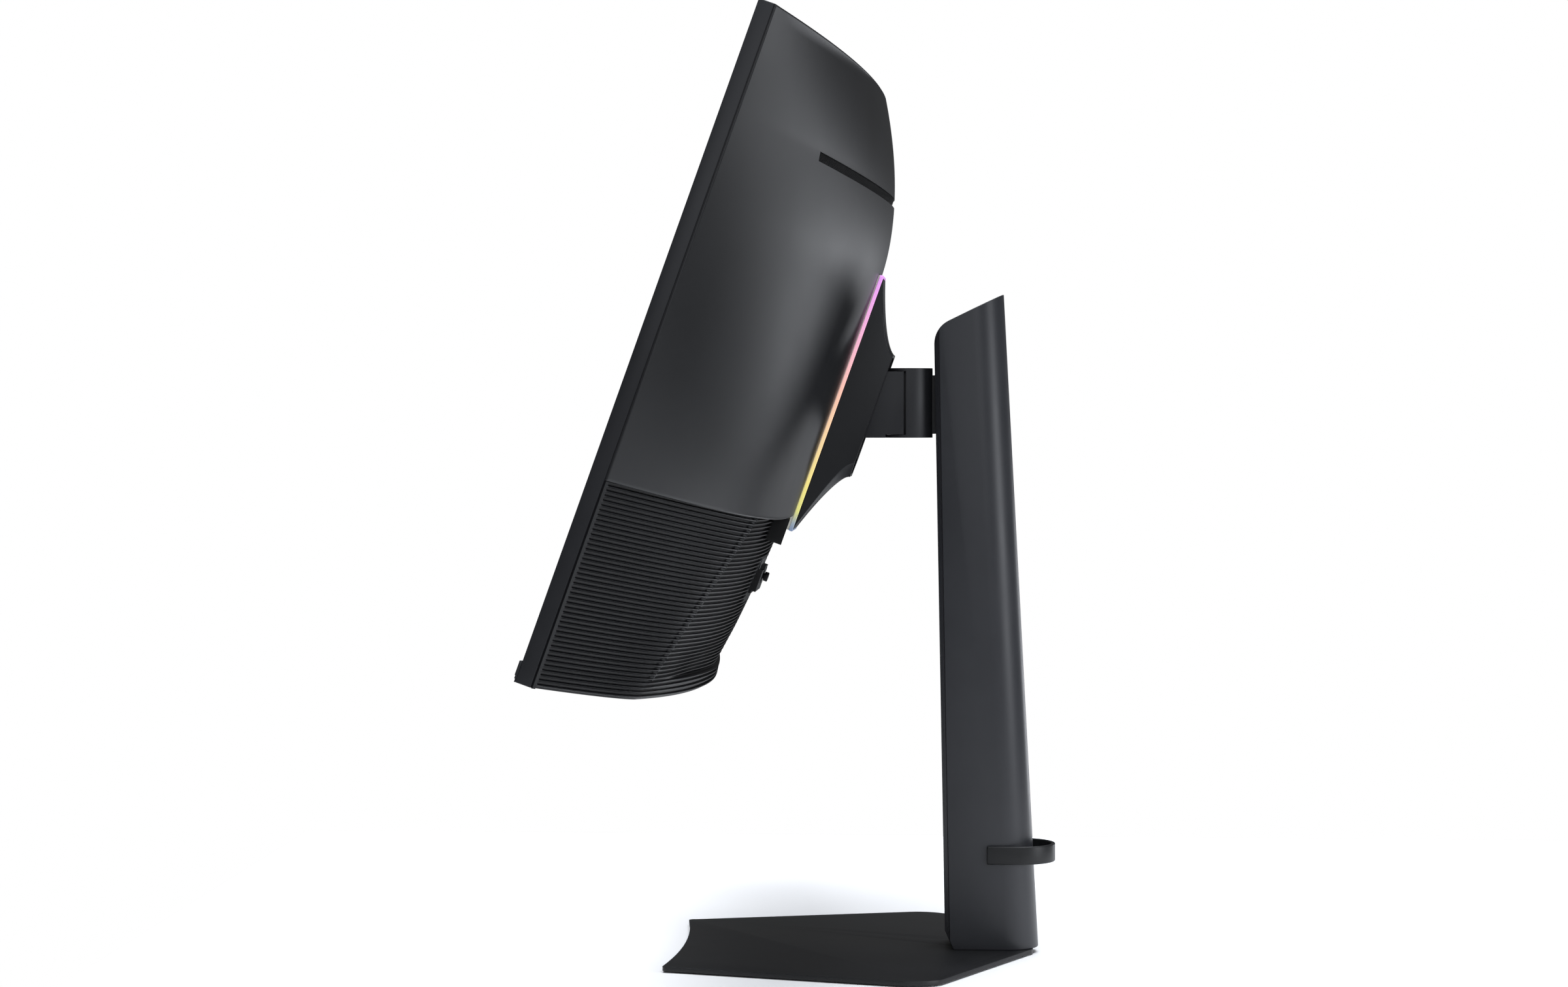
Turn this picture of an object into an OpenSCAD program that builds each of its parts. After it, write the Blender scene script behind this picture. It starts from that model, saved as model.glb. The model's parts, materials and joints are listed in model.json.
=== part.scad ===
// Curved monitor on a height-adjustable stand, with a light ring round the neck on its back.
// +X is to the right seen from the front, +Y is to the back, +Z is up. The origin is on the
// desk, under the column. The head's own frame is [across, back from the screen, up along it],
// with its origin on the tilt axis.

/* [Screen head] */
// Width over the side bezels
head_w = 728; // [716:2:740]
// Top edge of the head above the tilt axis, along the screen
head_top = 208.4; // [206:0.2:212]
// Bottom edge of the head below the tilt axis, along the screen
head_bottom = 211; // [209:0.5:214]
// Radius of curvature of the screen
screen_r = 1220; // [1150:10:1300]
// Distance of the glass in front of the tilt axis at the middle
glass_front = 50.7; // [49:0.1:52]
// Depth of the bezel frame
bezel_depth = 9.3; // [9:0.1:9.8]
// Width of the bezel
bezel_w = 6.5; // [5:0.5:8]
// Height of the chin below the picture
chin_h = 13; // [11:0.5:14]
// Backward tilt of the head at rest, degrees
tilt_rest = 19.8; // [0:0.1:20]

/* [Rear covers] */
// Thickness of the moulded covers
skin = 2.4; // [2:0.1:2.8]
// Where the smooth cover ends and the ribbed one starts
cover_split = -83; // [-84:0.5:-82]
// Where the ribbed cover ends and the bottom trim starts
trim_split = -191; // [-192:0.5:-190]
// Middle height of the vent slot
vent_v = 141.6; // [139:0.2:144]
// Height of the vent slot
vent_h = 5.8; // [4.5:0.1:7]
// Half length of the vent slot
vent_half = 239; // [200:1:250]

/* [Light ring and collar] */
// Half width of the light ring
ring_half = 25; // [24.8:0.1:25.6]
// Top of the light ring
ring_top = 92; // [91:0.5:93]
// Bottom of the light ring
ring_bottom = -92.6; // [-93:0.1:-92]
// Distance of the collar's rim behind the tilt axis
rim_w = 25.6; // [25:0.1:26.5]

/* [Stand] */
// Height of the tilt axis above the desk at the top of the travel
axis_z = 376.8; // [370:0.2:380]
// Distance of the tilt axis in front of the column's middle
axis_y = -104.8; // [-106:0.2:-104]
// Thickness of the base plate
plate_t = 3; // [2.5:0.1:3.5]
// Thickness of the foot pads
pad_t = 1; // [0.8:0.1:1.5]
// Half width of the column
column_half = 22; // [21:0.5:24]
// Forward lean of the column, degrees
lean = 1.1; // [0.8:0.1:1.4]
// Travel of the height adjustment
lift_travel = 110; // [60:5:110]

/* [Arm] */
// Height of the arm
arm_h = 47.4; // [46:0.2:48]
// Half width of the arm
arm_half = 20.25; // [20.2:0.01:20.3]
// Position of the swivel axis along Y
swivel_y = -57.5; // [-58:0.1:-57]
// Radius of the swivel yoke
yoke_r = 20; // [19.8:0.1:20]

/* [Hidden] */

half_w = head_w / 2;
window_half = half_w - bezel_w;
window_low = -head_bottom + chin_h;
window_high = head_top - bezel_w + 0.5;
pan_back = 6;              // depth of the panel stack behind the glass
screen_fn = 360;
plate_z = pad_t + plate_t;
column_y = -30.3;          // front face of the column at desk level
rear_low = 63.8;           // depth of the column at desk level
rear_taper = 0.0353;       // loss of depth per millimetre of height
front_strip = 3;           // thickness of the column's front strip
wall = 2.5;                // wall of the column
slot_half = 10.5;          // half width of the lift slot
lip = 2;                   // thickness of the yoke's lips
arm_low = axis_z - arm_h / 2;
arm_high = axis_z + arm_h / 2;
seam = 0.3;                // gap between pieces that move past each other

// ---------- shared shapes ----------

// Places its children, drawn in the head's own frame, on the tilt axis.
module in_head() {
    translate([0, axis_y, axis_z]) rotate([-tilt_rest, 0, 0]) children();
}

// Places its children, drawn as [across, depth behind the front face, height], in the column.
module in_column() {
    translate([0, column_y, 0]) rotate([lean, 0, 0]) children();
}

// A box from one corner to the other.
module span(low, high) {
    translate(low) cube(high - low);
}

// A cylinder along the head's back axis.
module post(x, v, from, to, r) {
    translate([x, from, v]) rotate([-90, 0, 0]) cylinder(h = to - from, r = r, $fn = 32);
}

// A solid through a list of rings that have the same number of points.
module loft(rings, closed = false) {
    n = len(rings[0]);
    m = len(rings);
    last = closed ? m - 1 : m - 2;
    walls = [for (i = [0:last]) for (j = [0:n - 1])
        let (a = i * n + j, b = i * n + (j + 1) % n, c = ((i + 1) % m) * n)
        each [[a, c + (j + 1) % n, b], [a, c + j, c + (j + 1) % n]]];
    caps = closed ? [] : [[for (j = [0:n - 1]) j], [for (j = [n - 1:-1:0]) (m - 1) * n + j]];
    polyhedron([for (ring = rings) each ring], concat(walls, caps), convexity = 6);
}

// A thick skin between two functions of (x, v), over a grid of both.
module skin_between(xs, vs, outer, inner) {
    n = len(xs);
    m = len(vs);
    k = n * m;
    points = concat([for (v = vs) for (x = xs) [x, outer(x, v), v]],
        [for (v = vs) for (x = xs) [x, inner(x, v), v]]);
    faces = [for (i = [0:m - 2]) for (j = [0:n - 2])
        let (a = i * n + j, b = a + 1, c = a + n, d = c + 1)
        each [[a, b, d], [a, d, c], [k + a, k + d, k + b], [k + a, k + c, k + d]]];
    low = [for (j = [0:n - 2]) each [[j, k + j, j + 1], [j + 1, k + j, k + j + 1]]];
    high = [for (j = [(m - 1) * n:m * n - 2]) each [[j, j + 1, k + j], [j + 1, k + j + 1, k + j]]];
    left = [for (i = [0:m - 2]) let (a = i * n) each [[a, a + n, k + a], [a + n, k + a + n, k + a]]];
    right = [for (i = [0:m - 2]) let (a = i * n + n - 1)
        each [[a, k + a, a + n], [a + n, k + a, k + a + n]]];
    polyhedron(points, concat(faces, low, high, left, right), convexity = 6);
}

// Evenly spaced numbers from a to b in n steps.
function steps(a, b, n) = [for (i = [0:n]) a + (b - a) * i / n];

// Depth at x of an arc round the screen's centre, `behind` the glass.
function arc_w(x, behind) = -glass_front - screen_r
    + sqrt((screen_r + behind) * (screen_r + behind) - x * x);

// Back of the panel stack at x.
function stack_back(x) = arc_w(x, pan_back);

// Back of the bezel frame at x.
function frame_back(x) = arc_w(x, bezel_depth);

// A slab bent to the screen's arc, between two depths behind the glass.
module curved_slab(front, back, half_x, low, high) {
    translate([0, -glass_front - screen_r, low]) linear_extrude(height = high - low)
        intersection() {
            difference() {
                circle(r = screen_r + back, $fn = screen_fn);
                circle(r = screen_r + front, $fn = screen_fn);
            }
            translate([-half_x, screen_r * 0.9]) square([2 * half_x, screen_r * 0.2]);
        }
}

// ---------- the rear covers' surfaces ----------

edge_w = frame_back(half_w) + 1.2;   // rear edge of the covers at the sides

function smooth(t) = let (u = min(max(t, 0), 1)) u * u * (3 - 2 * u);

// Middle profile of the smooth cover.
function cover_mid(v) = -1.4 - 36.4 * pow(max(v - 93, 0) / 111, 1.78);

// How square the smooth cover is across: high in the middle, softer by the vent.
function cover_power(v) = v < 144 ? 3 - 1.3 * smooth((v + 83) / 227)
    : 1.7 + 0.2 * (v - 144) / (head_top - 144);

function cover_w(x, v) = max(frame_back(x) + 0.9, cover_mid(v)
    - (cover_mid(v) - edge_w) * pow(abs(x) / half_w, cover_power(v)));

// The crease between the ribbed cover's sides and its middle.
function crease_t(v) = (cover_split - v) / 115;
function crease_x(v) = 172 + 61 * crease_t(v);
function crease_w(v) = -15 - 25 * crease_t(v);

function side_w(x, v) = crease_w(v)
    - (crease_w(v) - edge_w) * pow((abs(x) - crease_x(v)) / (half_w - crease_x(v)), 1.2);

// Middle profile of the ribbed cover.
function bulge_mid(v) = -10 - 8.2 * pow(max(cover_split - v, 0) / 107, 1.8);

function low_w(x, v) = abs(x) > crease_x(v) ? side_w(x, v)
    : bulge_mid(v) - (bulge_mid(v) - crease_w(v)) * pow(abs(x) / crease_x(v), 1.95);

// The bottom trim has no crease: below a ledge it is one curve from side to side.
ledge_h = 2.5;
function trim_mid(v) = -14.2 - 1.8 * pow(max(-196 - v, 0) / 14, 2);
function trim_curve(x, v) = trim_mid(v) - (trim_mid(v) - edge_w) * pow(abs(x) / half_w, 2.56);
function ledge(v) = 1 - pow(max(v - trim_split + ledge_h, 0) / ledge_h, 2);

function trim_w(x, v) = low_w(x, v) + (trim_curve(x, v) - low_w(x, v)) * ledge(v);

// The inside of a cover, clear of the panel stack and of the bezel frame.
function inside(x, v, outer) =
    max(outer - skin, abs(x) > window_half - 1 || v > window_high - 1 || v < window_low + 1
        ? frame_back(x) + 0.2 : stack_back(x) + 0.4);

// Places across a cover, with a step at the edge of the bezel frame.
function across(n) = concat([-half_w, 0.9 - window_half],
    steps(1.1 - window_half, window_half - 1.1, n), [window_half - 0.9, half_w]);

// Height of the bevel at the light ring's and the collar's lower corners, at depth w.
function corner_cut(w) = 1.5 + 8.5 * smooth((w - 2) / 20);

// The collar's outline at depth w: set in at the sides and at the ends, rounded at the top
// corners and bevelled at the bottom ones.
function collar_ring(w, side, ends) =
    let (r = 2, hx = ring_half - side, high = ring_top - ends, low = ring_bottom + ends,
         cut = corner_cut(w), run = 0.7 * cut)
    concat([for (i = [0:4]) let (a = i * 22.5) [hx - r + r * cos(a), w, high - r + r * sin(a)]],
        [for (i = [4:8]) let (a = i * 22.5) [r - hx + r * cos(a), w, high - r + r * sin(a)]],
        [for (t = steps(0, 1, 4)) [-hx + run * t, w, low + cut * (1 - t)]],
        [for (t = steps(0, 1, 4)) [hx - run * (1 - t), w, low + cut * t]]);

// A ring with a rectangular section that follows the light ring's outline.
module outline_band(from, to, outer, inner) {
    loft([collar_ring(from, inner, inner), collar_ring(to, inner, inner),
        collar_ring(to, outer, outer), collar_ring(from, outer, outer)], closed = true);
}

// ---------- stand ----------

// Half of the base's outline, from the middle of the front edge to the rear tip.
base_front = -216.5;
base_points = concat(
    [for (t = steps(0, 1, 6)) [98 * t, base_front + 6.5 - 6.5 * t * t]],
    [for (a = steps(-80, 15, 4)) [98 + 4 * cos(a), base_front + 4 + 4 * sin(a)]],
    [for (a = steps(-15, 48, 8)) [120 + 27 * cos(a), -51 + 27 * sin(a)]],
    [for (a = steps(48, 90, 5)) [12 + 10 * cos(a), 19.5 + 10 * sin(a)]]);

module base_outline() {
    n = len(base_points);
    polygon(concat(base_points, [for (i = [n - 1:-1:0]) [-base_points[i].x, base_points[i].y]]));
}

base_screw_spots = [[-13, -10], [13, -10], [-14, 14], [14, 14]];
thumb_y = 12;

module base_plate() {
    color("#2a2b2e") difference() {
        translate([0, 0, pad_t]) linear_extrude(height = plate_t) base_outline();
        for (p = base_screw_spots) {
            translate([p.x, p.y, 0]) cylinder(h = 10, r = 2.2, $fn = 32);
            translate([p.x, p.y, 0]) cylinder(h = pad_t + 2, r = 4.2, $fn = 32);
        }
        translate([0, thumb_y, 0]) cylinder(h = 10, r = 3.2, $fn = 32);
        translate([0, thumb_y, 0]) cylinder(h = pad_t + 1.8, r = 8.2, $fn = 32);
    }
}

pad_spots = [[-86, -202], [86, -202], [-124, -50], [124, -50], [0, -112]];

module foot_pads() {
    color("#1c1c1e") {
        for (p = pad_spots)
            translate([p.x, p.y, 0]) cylinder(h = pad_t, r = 9, $fn = 40);
        difference() {
            span([-24, -16, 0], [24, 22.5, pad_t]);
            translate([0, thumb_y, -1]) cylinder(h = 4, r = 8.6, $fn = 32);
            for (p = base_screw_spots)
                translate([p.x, p.y, -1]) cylinder(h = 4, r = 4.6, $fn = 32);
        }
    }
}

foot_top = 26;

module column_foot() {
    color("#8d9094") difference() {
        union() {
            span([-19, -20, plate_z], [19, 8, foot_top]);
            translate([0, 8, plate_z]) cylinder(h = foot_top - plate_z, r = 19, $fn = 96);
        }
        for (p = base_screw_spots)
            translate([p.x, p.y, plate_z - 1]) cylinder(h = 11, r = 2, $fn = 32);
        translate([0, thumb_y, plate_z - 1]) cylinder(h = 40, r = 3, $fn = 32);
    }
}

module base_screws() {
    color("#b9bcc0") for (p = base_screw_spots) translate([p.x, p.y, 0]) {
        translate([0, 0, pad_t + 0.2]) cylinder(h = 1.7, r = 3.9, $fn = 32);
        translate([0, 0, pad_t + 1.5]) cylinder(h = 10.5, r = 1.95, $fn = 32);
    }
}

module base_thumbscrew() {
    color("#b9bcc0") translate([0, thumb_y, 0]) difference() {
        union() {
            translate([0, 0, pad_t + 0.1]) cylinder(h = 1.6, r = 7.8, $fn = 40);
            translate([0, 0, pad_t + 1]) cylinder(h = 18, r = 2.95, $fn = 32);
        }
        span([-5.5, -0.6, 0], [5.5, 0.6, pad_t + 0.9]);
    }
}

// Side profile that trims the column: bottom chamfer at the front, rounded front top corner and
// a slanted top, all set in by `inset`.
corner_r = 17.5;
corner_z = 417;
slant = 26;

module column_profile(low, inset) {
    front = column_y - corner_z * tan(lean);
    r = corner_r - inset;
    arc = [for (a = steps(180, 90 + slant, 8))
        [front + corner_r + r * cos(a), corner_z + r * sin(a)]];
    tip = arc[len(arc) - 1];
    run = 60 - tip.x;
    rotate([90, 0, 90]) linear_extrude(height = 80, center = true)
        polygon(concat([[60, low], [column_y + 5.6 + inset, low], [column_y - 0.3 + inset, 17],
            [front - 15, 45], [front - 15, corner_z]], arc, [[60, tip.y + run * tan(slant)]]));
}

// Plan section of the column behind its front strip, at height h.
function column_ring(h, inset) =
    let (r = column_half - inset, mid = rear_low - rear_taper * h - column_half)
    concat([[-r, front_strip + 0.1 + inset, h], [r, front_strip + 0.1 + inset, h]],
        [for (a = steps(0, 180, 20)) [r * cos(a), mid + r * sin(a), h]]);

module column_shell() {
    color("#303135") difference() {
        intersection() {
            in_column() loft([column_ring(-4, 0), column_ring(470, 0)]);
            column_profile(plate_z, 0);
        }
        intersection() {
            in_column() loft([column_ring(-9, wall), column_ring(480, wall)]);
            column_profile(-5, wall);
        }
        in_column() span([-column_half + wall, 0, 24], [column_half - wall, 8, 412]);
    }
}

slot_low = arm_low - lift_travel - 12;
slot_high = arm_high + 6;

module column_front() {
    color("#27282b") difference() {
        intersection() {
            in_column() translate([0, 0, -4]) linear_extrude(height = 474)
                polygon([[-column_half + front_strip, 0], [column_half - front_strip, 0],
                    [column_half, front_strip], [-column_half, front_strip]]);
            column_profile(plate_z, 0);
        }
        in_column() span([-slot_half, -5, slot_low], [slot_half, 10, slot_high]);
    }
}

rail_half = 17;
rail_d = 5;               // rail's front edge behind the column's front face
rail_back = 19;           // rail's back wall behind the column's front face
rail_t = 1.5;
drum_d = 31.6;
drum_h = 396;

module lift_rail() {
    color("#a9acb1") in_column() difference() {
        span([-rail_half, rail_d, foot_top + 2], [rail_half, rail_back, 410]);
        span([-rail_half + rail_t, rail_d - 1, 0], [rail_half - rail_t, rail_back - rail_t, 420]);
        for (h = [60, 180]) translate([0, 0, h]) rotate([-90, 0, 0])
            cylinder(h = 40, r = 2.1, $fn = 32);
        span([-6, rail_back - rail_t - 1, 250], [6, 30, 420]);
    }
    // ears that hold the spring's axle
    color("#a9acb1") in_column() difference() {
        for (x = [-14.6, 13.1])
            span([x, rail_back - 0.5, drum_h - 9], [x + 1.5, drum_d + 5, drum_h + 9]);
        translate([-20, drum_d, drum_h]) rotate([0, 90, 0]) cylinder(h = 40, r = 2.05, $fn = 32);
    }
}

module rail_screws() {
    color("#b9bcc0") in_column() for (h = [60, 180]) translate([0, 0, h]) rotate([-90, 0, 0]) {
        translate([0, 0, rail_back - rail_t - 2]) cylinder(h = 2, r = 3.6, $fn = 32);
        translate([0, 0, rail_back - rail_t]) cylinder(h = 8, r = 2, $fn = 32);
    }
}

clip_low = 62.8;
clip_high = 75.2;

module cable_clip() {
    t = 2.6;
    outer = column_half + t;
    back = 44.9 - outer;
    color("#232427") translate([0, 0, clip_low]) linear_extrude(height = clip_high - clip_low)
        difference() {
            union() {
                translate([0, back]) circle(r = outer, $fn = 96);
                translate([-outer, -2]) square([2 * outer, back + 2]);
            }
            translate([0, back]) circle(r = column_half, $fn = 96);
            translate([-column_half, -5]) square([2 * column_half, back + 5]);
        }
}

coil_r = 10.5;

module spring_axle() {
    color("#b9bcc0") in_column() translate([-15.4, drum_d, drum_h]) rotate([0, 90, 0])
        cylinder(h = 30.8, r = 2, $fn = 32);
}

module spring_drum() {
    color("#c9ccd0") in_column() translate([0, drum_d, drum_h]) rotate([0, 90, 0]) difference() {
        union() {
            translate([0, 0, -10]) cylinder(h = 20, r = coil_r, $fn = 64);
            for (z = [-11, 10]) translate([0, 0, z]) cylinder(h = 1, r = coil_r + 0.8, $fn = 64);
        }
        translate([0, 0, -15]) cylinder(h = 30, r = 2.05, $fn = 32);
    }
}

// ---------- carriage ----------

// The carriage's place at the top of its travel.
carriage_low = axis_z - 32;
carriage_high = axis_z + 20;

yoke_back = -39.8;        // flat back of the yoke, where the carriage block bolts on
yoke_screw_h = 11;

// Places its children on one of the two screw axes between the yoke and the carriage block.
module yoke_axis(h) {
    translate([0, -43, axis_z + h]) rotate([-90 + lean, 0, 0]) children();
}

module spring_strip() {
    strip_t = 0.2;
    back = drum_d - coil_r;
    color("#c9ccd0") in_column() {
        span([-5, back - strip_t, 372], [5, back, drum_h]);
        span([-5, 14, 372], [5, back, 372 + strip_t]);
    }
}

module carriage_block() {
    color("#232427") difference() {
        in_column() {
            span([-13.5, rail_d + 1, carriage_low], [13.5, 14, carriage_high]);
            span([-9, -3, carriage_low + 11], [9, rail_d + 2, carriage_high - 1]);
        }
        span([-30, -80, 300], [30, yoke_back, 500]);
        for (h = [-yoke_screw_h, yoke_screw_h]) yoke_axis(h) cylinder(h = 40, r = 2, $fn = 32);
    }
}

module glide_pads() {
    color("#e6e6e0") in_column() for (x = [-15.3, 13.5]) for (h = [0, 38])
        span([x, rail_d + 1.5, carriage_low + h + 1], [x + 1.8, 13.5, carriage_low + h + 13]);
}

module swivel_yoke() {
    color("#242528") difference() {
        union() {
            translate([0, swivel_y, arm_low]) cylinder(h = lip, r = yoke_r, $fn = 96);
            translate([0, swivel_y, arm_high - lip]) cylinder(h = lip, r = yoke_r, $fn = 96);
            intersection() {
                translate([0, swivel_y, arm_low]) cylinder(h = arm_h, r = yoke_r, $fn = 96);
                span([-30, swivel_y, 0], [30, 0, 600]);
            }
        }
        translate([0, swivel_y, arm_low + lip]) cylinder(h = arm_h - 2 * lip, r = 15, $fn = 96);
        span([-30, yoke_back, 0], [30, 0, 600]);
        translate([0, swivel_y, arm_low - 1]) cylinder(h = arm_h + 2, r = 5, $fn = 48);
        for (h = [-yoke_screw_h, yoke_screw_h]) yoke_axis(h) {
            cylinder(h = 40, r = 2.1, $fn = 32);
            translate([0, 0, -1]) cylinder(h = 2.8, r = 3.6, $fn = 32);
        }
    }
}

module yoke_screws() {
    color("#b9bcc0") for (h = [-yoke_screw_h, yoke_screw_h]) yoke_axis(h) {
        translate([0, 0, 0.8]) cylinder(h = 1, r = 3.4, $fn = 32);
        translate([0, 0, 1]) cylinder(h = 17, r = 1.9, $fn = 32);
    }
}

module swivel_pin() {
    color("#a9acb1") translate([0, swivel_y, arm_low + 0.4])
        cylinder(h = arm_h - 0.8, r = 5, $fn = 48);
}

// ---------- arm ----------

hub_r = 17;
hub_half = 9.7;
tilt_bush = 8;
bush_r = 7;

module arm_housing() {
    color("#202124") difference() {
        union() {
            // knuckle round the swivel pin and the tongue to the block
            translate([0, swivel_y, arm_low + lip + seam])
                cylinder(h = arm_h - 2 * (lip + seam), r = 14.6, $fn = 96);
            span([-11, -80, arm_low + lip + seam], [11, swivel_y, arm_high - lip - seam]);
            // cheeks beside the yoke, and the block in front of it
            difference() {
                span([-arm_half, -86, arm_low + lip + seam],
                    [arm_half, swivel_y - 1.4, arm_high - lip - seam]);
                translate([0, swivel_y, 0]) cylinder(h = 600, r = yoke_r + seam, $fn = 96);
            }
            difference() {
                span([-arm_half, -86, arm_low], [arm_half, -71.5, arm_high]);
                translate([0, swivel_y, 0]) cylinder(h = 600, r = yoke_r + 0.5, $fn = 96);
            }
            // web and hub on the tilt axis
            span([-hub_half, axis_y, axis_z - 14], [hub_half, -85, axis_z + 14]);
            translate([-hub_half, axis_y, axis_z]) rotate([0, 90, 0])
                cylinder(h = 2 * hub_half, r = hub_r, $fn = 96);
        }
        translate([0, swivel_y, 0]) cylinder(h = 600, r = bush_r, $fn = 48);
        translate([-30, axis_y, axis_z]) rotate([0, 90, 0]) cylinder(h = 60, r = bush_r, $fn = 48);
    }
}

module swivel_bushes() {
    color("#d8d8d0") for (z = [arm_low + lip + seam, arm_high - lip - seam - 14])
        translate([0, swivel_y, z]) difference() {
            cylinder(h = 14, r = bush_r, $fn = 48);
            translate([0, 0, -1]) cylinder(h = 16, r = 5.05, $fn = 48);
        }
}

module tilt_bushes() {
    color("#d8d8d0") for (x = [-hub_half, hub_half - tilt_bush])
        translate([x, axis_y, axis_z]) rotate([0, 90, 0]) difference() {
            cylinder(h = tilt_bush, r = bush_r, $fn = 48);
            translate([0, 0, -1]) cylinder(h = tilt_bush + 2, r = 4.05, $fn = 48);
        }
}

// ---------- head: hinge and structure ----------

washer_t = 2.6;
ear_in = 12.6;
ear_out = 15.6;
nut_t = 4;

module along_tilt(from, to, r, sides = 48) {
    translate([from, 0, 0]) rotate([0, 90, 0]) cylinder(h = to - from, r = r, $fn = sides);
}

module tilt_shaft() {
    color("#a9acb1") in_head() along_tilt(-ear_out - nut_t - 0.3, ear_out + nut_t + 0.3, 4);
}

module friction_washers() {
    color("#c8a050") in_head() for (x = [-ear_in, ear_in - washer_t]) difference() {
        along_tilt(x, x + washer_t, 10);
        along_tilt(x - 1, x + washer_t + 1, 4);
    }
}

module shaft_nuts() {
    color("#b9bcc0") in_head() for (x = [-ear_out - nut_t, ear_out]) difference() {
        along_tilt(x, x + nut_t, 7.5, 6);
        along_tilt(x - 1, x + nut_t + 1, 4);
    }
}

bracket_w = -27;
bracket_t = 3;
vesa = 75;
corners = [[-1, -1], [1, -1], [-1, 1], [1, 1]];

module tilt_bracket() {
    color("#8d9094") in_head() difference() {
        union() {
            span([-46, bracket_w, -46], [46, bracket_w + bracket_t, 46]);
            for (x = [-ear_out, ear_in]) {
                span([x, bracket_w + 1, -13], [x + 3, 0, 13]);
                along_tilt(x, x + 3, 13);
            }
        }
        along_tilt(-40, 40, 4);
        for (c = corners) post(c.x * vesa / 2, c.y * vesa / 2, bracket_w - 5, 0, 2.2);
    }
}

module bracket_screws() {
    color("#b9bcc0") in_head() for (c = corners) {
        post(c.x * vesa / 2, c.y * vesa / 2, bracket_w - 5, bracket_w + bracket_t + 1, 1.95);
        post(c.x * vesa / 2, c.y * vesa / 2, bracket_w + bracket_t, bracket_w + bracket_t + 2.4, 3.6);
    }
}

tray_w = -30;
tray_t = 2;
tray_half = 168;
tray_low = -150;
tray_high = 95;
board_w = -23.5;
carrier_w = -12;
carrier_t = 2.6;
carrier_x = 30;
carrier_v = 60;
boss_x = 55;

module chassis_plate() {
    color("#9a9da1") in_head() difference() {
        union() {
            span([-tray_half, tray_w, tray_low], [tray_half, tray_w + tray_t, tray_high]);
            for (c = corners) {
                post(c.x * boss_x, c.y * 60 - 20, stack_back(boss_x - 6) + 0.1, tray_w + 1, 6);
                post(c.x * carrier_x, c.y * carrier_v, tray_w + 1, carrier_w, 4);
            }
            for (x = [-148, -96, 96, 148]) for (v = [-65, 60])
                post(x, v, tray_w + 1, board_w, 2.5);
            for (x = [-60, 60]) post(x, -133, tray_w + 1, board_w, 2.5);
        }
        for (c = corners) post(c.x * vesa / 2, c.y * vesa / 2, -50, 0, 2);
        for (c = corners) post(c.x * carrier_x, c.y * carrier_v, -22, 0, 1.5);
    }
}

module ring_carrier() {
    color("#3a3c40") in_head() difference() {
        union() {
            span([-34, carrier_w, -80], [34, carrier_w + carrier_t, 80]);
            loft([collar_ring(carrier_w + carrier_t, 1, 1), collar_ring(carrier_w, 1, 1)]);
        }
        span([-19, carrier_w - 1, ring_bottom + 6], [19, 0, ring_top - 6]);
        for (c = corners) post(c.x * carrier_x, c.y * carrier_v, -30, 0, 1.6);
    }
}

module carrier_screws() {
    color("#b9bcc0") in_head() for (c = corners) {
        post(c.x * carrier_x, c.y * carrier_v, carrier_w - 8, carrier_w + carrier_t + 0.5, 1.45);
        post(c.x * carrier_x, c.y * carrier_v, carrier_w + carrier_t, carrier_w + carrier_t + 1.6, 2.8);
    }
}

// ---------- head: screen ----------

module lcd_panel() {
    color("#0b0b0d") in_head()
        curved_slab(0.6, 2, window_half - 0.3, window_low + 0.3, window_high - 0.3);
}

module optical_sheets() {
    color("#e9ecef") in_head()
        curved_slab(2.1, 2.9, window_half - 0.3, window_low + 0.3, window_high - 0.3);
}

module light_guide() {
    color("#dfe8ee") in_head()
        curved_slab(3, 5, window_half - 0.3, window_low + 6, window_high - 0.3);
}

module led_bar() {
    color("#f1efe0") in_head()
        curved_slab(3, 5, window_half - 4, window_low + 1, window_low + 5.5);
}

module backlight_pan() {
    color("#b4b7bb") in_head()
        curved_slab(5.1, pan_back, window_half - 0.3, window_low + 0.3, window_high - 0.3);
}

module bezel_frame() {
    color("#1b1c1e") in_head() difference() {
        curved_slab(0, bezel_depth, half_w, -head_bottom, head_top);
        curved_slab(-2, bezel_depth + 2, window_half, window_low, window_high);
    }
}

module front_chin() {
    proud = 1.5;
    color("#1b1c1e") in_head() {
        curved_slab(-proud, 0, half_w, -head_bottom + 4, window_low);
        curved_slab(-proud + 0.4, 0, half_w, -head_bottom + 2, -head_bottom + 4.1);
        curved_slab(-proud + 0.9, 0, half_w, -head_bottom, -head_bottom + 2.1);
    }
}

// ---------- head: covers ----------

module rear_cover() {
    lower_inside = function (x, v) v < cover_split + 2.5
        ? min(inside(x, v, cover_w(x, v)), inside(x, v, low_w(x, cover_split)))
        : inside(x, v, cover_w(x, v));
    vs = concat([cover_split, cover_split + 2.4, cover_split + 2.6], steps(-70, 90, 5),
        steps(98, 138, 3), steps(146, 196, 5), [window_high - 1.1, window_high - 0.9, head_top]);
    color("#38393c") in_head() difference() {
        skin_between(across(40), vs, function (x, v) cover_w(x, v), lower_inside);
        span([-ring_half - seam, -60, cover_split - 5], [ring_half + seam, 20, ring_top + seam]);
        span([-vent_half, -90, vent_v - vent_h / 2], [vent_half, 20, vent_v + vent_h / 2]);
    }
}

// The gap that the socket block and the joystick panel leave in the ribbed cover.
port_out = 62;
port_in = -8;
port_low = -101.5;
joy_v = -129.2;
joy_half = 24;
joy_low = -142;
joy_high = -117;

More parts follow.
